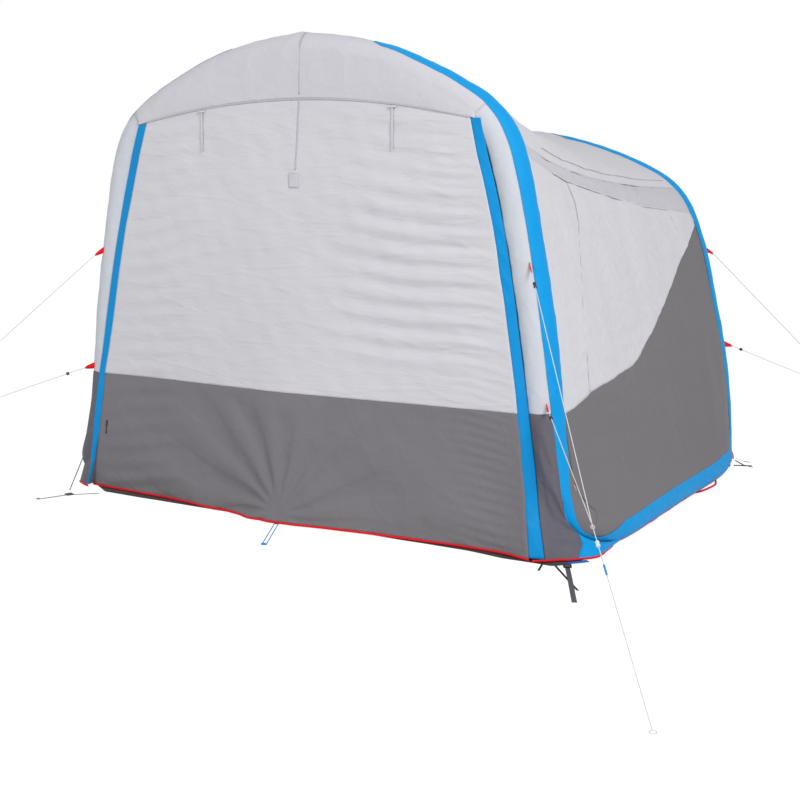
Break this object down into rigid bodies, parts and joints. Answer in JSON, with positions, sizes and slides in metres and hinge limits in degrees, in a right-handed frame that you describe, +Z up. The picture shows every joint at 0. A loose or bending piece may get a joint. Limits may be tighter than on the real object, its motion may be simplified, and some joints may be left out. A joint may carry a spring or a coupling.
{
  "type": "inflatable shelter tent",
  "caption": "Free-standing inflatable shelter: two air arches in cloth sleeves, saddle roof, side walls, front door panel and guy lines; gives standing room for camping",
  "frame": {"origin": "on the ground under the middle of the shelter, on the underside of the groundsheet", "axes": "+Z up, +Y from the door to the back, +X to the right seen from the front"},
  "size_m": [4.1509, 4.4615, 2.1489],
  "materials": {
    "light_polyester": "matt coated polyester",
    "sleeve_polyester": "matt coated polyester",
    "dark_polyester": "matt coated polyester",
    "blue_polyester": "matt coated polyester",
    "vent_mesh": "fine polyester mesh, gathered",
    "red_webbing": "woven webbing and piping",
    "black_webbing": "woven webbing",
    "guy_line": "braided cord",
    "blue_cord": "braided cord and toggle",
    "black_plastic": "moulded nylon",
    "air_tube": "welded plastic film",
    "steel_wire": "galvanised wire"
  },
  "bodies": {
    "shelter": {"front_air_beam": "air_tube", "front_header": "light_polyester", "front_left_guy_line": "guy_line", "front_left_leg_strap": "black_webbing", "front_left_lower_line": "guy_line", "front_left_lower_tab": "red_webbing", "front_left_narrow_strap": "black_webbing", "front_left_peg": "steel_wire", "front_left_peg_plate": "black_plastic", "front_left_upper_tab": "red_webbing", "front_right_buckle": "black_plastic", "front_right_foot_strap": "black_webbing", "front_right_guy_line": "guy_line", "front_right_lower_line": "guy_line", "front_right_lower_tab": "red_webbing", "front_right_narrow_strap": "black_webbing", "front_right_upper_tab": "red_webbing", "front_sleeve": "sleeve_polyester", "front_valve": "black_plastic", "groundsheet": "dark_polyester", "left_side_band": "blue_polyester", "left_vent_strip": "vent_mesh", "left_wall_lower": "dark_polyester", "left_wall_upper": "light_polyester", "left_zip_flap": "blue_polyester", "rear_air_beam": "air_tube", "rear_left_foot_strap": "black_webbing", "rear_left_lower_tab": "red_webbing", "rear_left_upper_tab": "red_webbing", "rear_panel_lower": "dark_polyester", "rear_panel_upper": "light_polyester", "rear_right_foot_strap": "black_webbing", "rear_right_guy_line": "guy_line", "rear_right_lower_line": "guy_line", "rear_right_lower_tab": "red_webbing", "rear_right_upper_tab": "red_webbing", "rear_sleeve": "sleeve_polyester", "rear_valve": "black_plastic", "right_side_band": "blue_polyester", "right_vent_strip": "vent_mesh", "right_wall_lower": "dark_polyester", "right_wall_upper": "light_polyester", "right_zip_flap": "blue_polyester", "roof_panel": "light_polyester"},
    "front_door": {"front_door_upper": "light_polyester", "front_door_lower": "dark_polyester", "front_hem": "red_webbing", "door_peg_loop": "blue_cord", "door_peg_toggle": "blue_cord", "left_door_tie": "black_webbing", "right_door_tie": "black_webbing"},
    "left_slider": {"left_zip_slider": "black_plastic"},
    "right_slider": {"right_zip_slider": "black_plastic"},
    "front_cap": {"front_valve_cap": "black_plastic"},
    "rear_cap": {"rear_valve_cap": "black_plastic"},
    "front_right_upper_adjuster": {"front_right_upper_runner": "black_plastic"},
    "front_right_lower_adjuster": {"front_right_lower_runner": "black_plastic"},
    "front_right_main_adjuster": {"front_right_main_runner": "guy_line"},
    "front_left_lower_adjuster": {"front_left_lower_runner": "black_plastic"},
    "rear_right_lower_adjuster": {"rear_right_lower_runner": "black_plastic"}
  },
  "joints": [
    {"name": "front_door_swing", "type": "hinge", "parent": "shelter", "child": "front_door", "pos_m": [0, -0.8811, 1.861], "axis": [-1, 0, 0], "range_deg": [0, 85]},
    {"name": "left_zip_slide", "type": "slide", "parent": "shelter", "child": "left_slider", "axis": [0.1462, 0, 0.9893], "range_m": [0, 0.68]},
    {"name": "right_zip_slide", "type": "slide", "parent": "shelter", "child": "right_slider", "axis": [-0.1462, 0, 0.9893], "range_m": [0, 0.68]},
    {"name": "front_cap_hinge", "type": "hinge", "parent": "shelter", "child": "front_cap", "pos_m": [1.19173, -0.71196, 0.43669], "axis": [0.982, 0.0019, 0.189], "range_deg": [0, 150]},
    {"name": "rear_cap_hinge", "type": "hinge", "parent": "shelter", "child": "rear_cap", "pos_m": [1.27107, 1.11633, 0.40687], "axis": [0.9898, -0.0539, 0.1319], "range_deg": [0, 150]},
    {"name": "front_right_upper_slide", "type": "slide", "parent": "shelter", "child": "front_right_upper_adjuster", "axis": [0.4666, -0.5964, -0.6531], "range_m": [0, 1.1]},
    {"name": "front_right_lower_slide", "type": "slide", "parent": "shelter", "child": "front_right_lower_adjuster", "axis": [0.5351, -0.8009, -0.2685], "range_m": [0, 0.76]},
    {"name": "front_right_main_slide", "type": "slide", "parent": "shelter", "child": "front_right_main_adjuster", "axis": [0.5084, -0.7717, -0.3821], "range_m": [0, 0.78]},
    {"name": "front_left_lower_slide", "type": "slide", "parent": "shelter", "child": "front_left_lower_adjuster", "axis": [-0.5349, -0.8005, -0.2703], "range_m": [0, 0.75]},
    {"name": "rear_right_lower_slide", "type": "slide", "parent": "shelter", "child": "rear_right_lower_adjuster", "axis": [0.6323, 0.6815, -0.3684], "range_m": [0, 0.67]}
  ]
}
